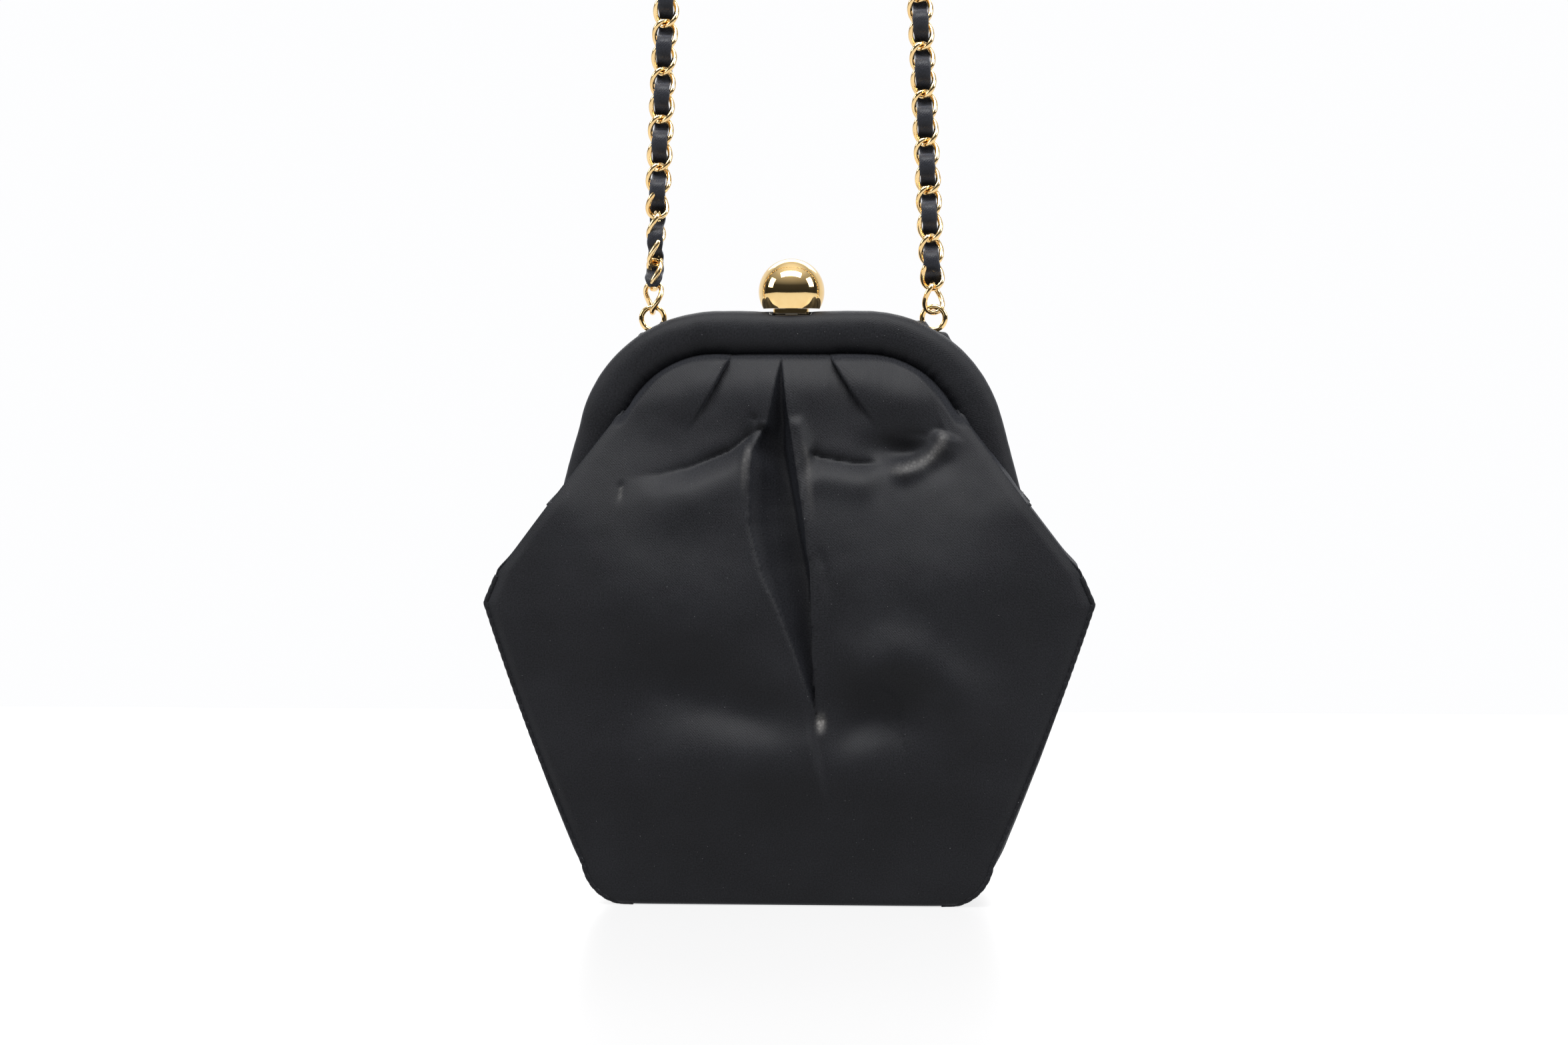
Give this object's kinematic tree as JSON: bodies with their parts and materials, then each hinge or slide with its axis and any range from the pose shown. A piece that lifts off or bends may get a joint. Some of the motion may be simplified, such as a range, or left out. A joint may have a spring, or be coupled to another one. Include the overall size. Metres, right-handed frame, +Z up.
{
  "type": "clutch purse",
  "caption": "Small frame clutch purse in pleated black satin, with a gold ball clasp on a hinged arch frame and a chain strap threaded with ribbon.",
  "frame": {"origin": "middle of the flat base, on the surface the bag stands on", "axes": "+Z up, the pleated front faces -Y, +X to the right as seen from the front"},
  "size_m": [0.1636, 0.056, 0.3986],
  "materials": {
    "black_satin": "black duchess satin, soft sheen",
    "lining_satin": "thin black lining satin",
    "ribbon_satin": "narrow black satin ribbon",
    "stiffener_board": "stiff bonded interlining",
    "foam_padding": "soft wadding",
    "frame_steel": "plated pressed steel",
    "spring_steel": "spring wire",
    "polished_gold": "polished gold plate",
    "chain_gold": "polished gold plate"
  },
  "bodies": {
    "root": {"back_frame_rail": "frame_steel", "back_frame_padding": "foam_padding", "back_frame_cover": "black_satin", "back_panel": "black_satin", "front_panel": "black_satin", "base_panel": "black_satin", "base_board": "stiffener_board", "base_lining": "lining_satin", "front_interlining": "stiffener_board", "back_interlining": "stiffener_board", "front_lining": "lining_satin", "back_lining": "lining_satin", "slip_pocket": "lining_satin", "front_piping": "black_satin", "back_piping": "black_satin", "left_gusset": "black_satin", "right_gusset": "black_satin", "left_gusset_lining": "lining_satin", "right_gusset_lining": "lining_satin", "hinge_rivets": "polished_gold", "hinge_washers": "frame_steel", "clasp_keeper": "frame_steel", "left_chain_eye": "polished_gold", "right_chain_eye": "polished_gold"},
    "front_frame": {"front_frame_rail": "frame_steel", "front_frame_padding": "foam_padding", "front_frame_cover": "black_satin", "front_yoke": "black_satin", "front_yoke_lining": "lining_satin", "clasp_housing": "frame_steel", "clasp_pin": "frame_steel", "clasp_spring": "spring_steel"},
    "clasp": {"clasp_ball": "polished_gold", "clasp_seat": "polished_gold", "clasp_lever": "frame_steel"},
    "strap": {"chain_left": "chain_gold", "chain_top": "chain_gold", "chain_right": "chain_gold", "chain_ribbon": "ribbon_satin"}
  },
  "joints": [
    {"name": "frame_open", "type": "hinge", "parent": "root", "child": "front_frame", "pos_m": [0, 0, 0.103], "axis": [1, 0, 0], "range_deg": [0, 55]},
    {"name": "clasp_tilt", "type": "hinge", "parent": "front_frame", "child": "clasp", "pos_m": [0, -0.0034, 0.1505], "axis": [1, 0, 0], "range_deg": [0, 8], "stiffness_Nm_per_rad": 0.2, "springref_deg": -5.73},
    {"name": "strap_swing", "type": "hinge", "parent": "root", "child": "strap", "pos_m": [0, 0.005, 0.1583], "axis": [1, 0, 0], "range_deg": [-90, 90]}
  ]
}
